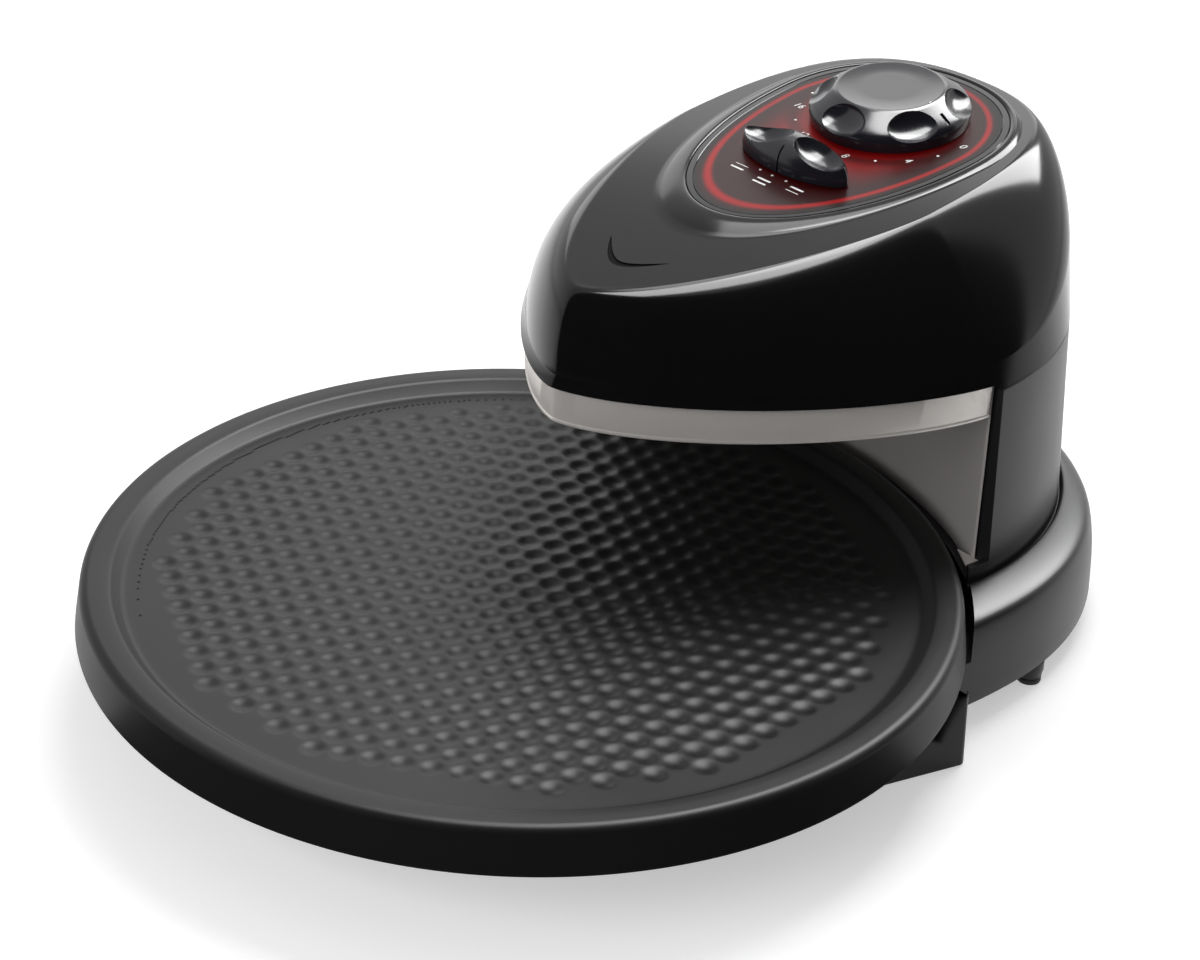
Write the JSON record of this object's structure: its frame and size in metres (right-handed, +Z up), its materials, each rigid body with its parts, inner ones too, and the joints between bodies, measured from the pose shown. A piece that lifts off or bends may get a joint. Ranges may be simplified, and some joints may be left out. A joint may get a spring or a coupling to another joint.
{
  "type": "electric pizza maker",
  "caption": "Rotating-pan electric pizza oven: round non-stick pan turning on a spindle under a fixed overhanging heater head with timer and selector knobs on a column and moulded base.",
  "frame": {"origin": "bottom centre of the bounding box, on the surface the oven stands on", "axes": "+Z up; the front with the pan faces -Y and the column is towards +Y; +X is to the right seen from the front"},
  "size_m": [0.354, 0.457, 0.2134],
  "materials": {
    "gloss_black": "moulded thermoset, high gloss",
    "satin_black": "moulded, fine satin",
    "knob_charcoal": "charcoal, semi gloss",
    "dial_red": "printed dark red label under clear film",
    "white_mark": "white paint",
    "steel": "satin stainless steel",
    "element": "oxidised steel sheath",
    "nonstick": "satin non-stick coating on aluminium",
    "plated": "zinc plated steel",
    "bronze": "sintered bronze",
    "ceramic": "unglazed ceramic",
    "rubber": "black rubber",
    "dark_metal": "blackened steel"
  },
  "bodies": {
    "base": {"base_pedestal": "gloss_black", "base_cover": "satin_black", "base_tray": "gloss_black", "column_shell": "satin_black", "upper_housing": "gloss_black", "head_floor": "satin_black", "control_panel": "gloss_black", "dial_field": "dial_red", "timer_body": "plated", "timer_bracket": "plated", "selector_switch": "ceramic", "upper_reflector": "steel", "upper_element": "element", "upper_insulators": "ceramic", "heat_shield": "steel", "thermal_cutout": "plated", "lower_reflector": "steel", "lower_element": "element", "lower_insulators": "ceramic", "element_clips": "plated", "drive_motor": "plated", "spindle_bush": "bronze", "foot_legs": "satin_black", "foot_pads": "rubber", "tray_pads": "rubber", "cover_screws": "dark_metal", "motor_screws": "plated", "reflector_screws": "plated", "column_screws": "dark_metal", "terminal_block": "ceramic", "cord_inlet": "satin_black"},
    "pan": {"baking_pan": "nonstick", "pan_hub": "dark_metal"},
    "spindle": {"drive_spindle": "plated"},
    "timer": {"timer_knob": "knob_charcoal", "timer_pointer": "white_mark", "timer_shaft": "plated"},
    "selector": {"selector_knob": "knob_charcoal", "selector_shaft": "plated"}
  },
  "joints": [
    {"name": "pan_spin", "type": "hinge", "parent": "base", "child": "spindle", "pos_m": [0, -0.0515, 0.03], "axis": [0, 0, 1], "continuous": true},
    {"name": "pan_lift", "type": "slide", "parent": "spindle", "child": "pan", "axis": [0, 0, 1], "range_m": [0, 0.03]},
    {"name": "timer_turn", "type": "hinge", "parent": "base", "child": "timer", "pos_m": [0, 0.1489, 0.197], "axis": [0, -0.0981, 0.9952], "range_deg": [-192, 0]},
    {"name": "selector_turn", "type": "hinge", "parent": "base", "child": "selector", "pos_m": [0, 0.09168, 0.19136], "axis": [0, -0.0981, 0.9952], "range_deg": [-28, 28]}
  ]
}
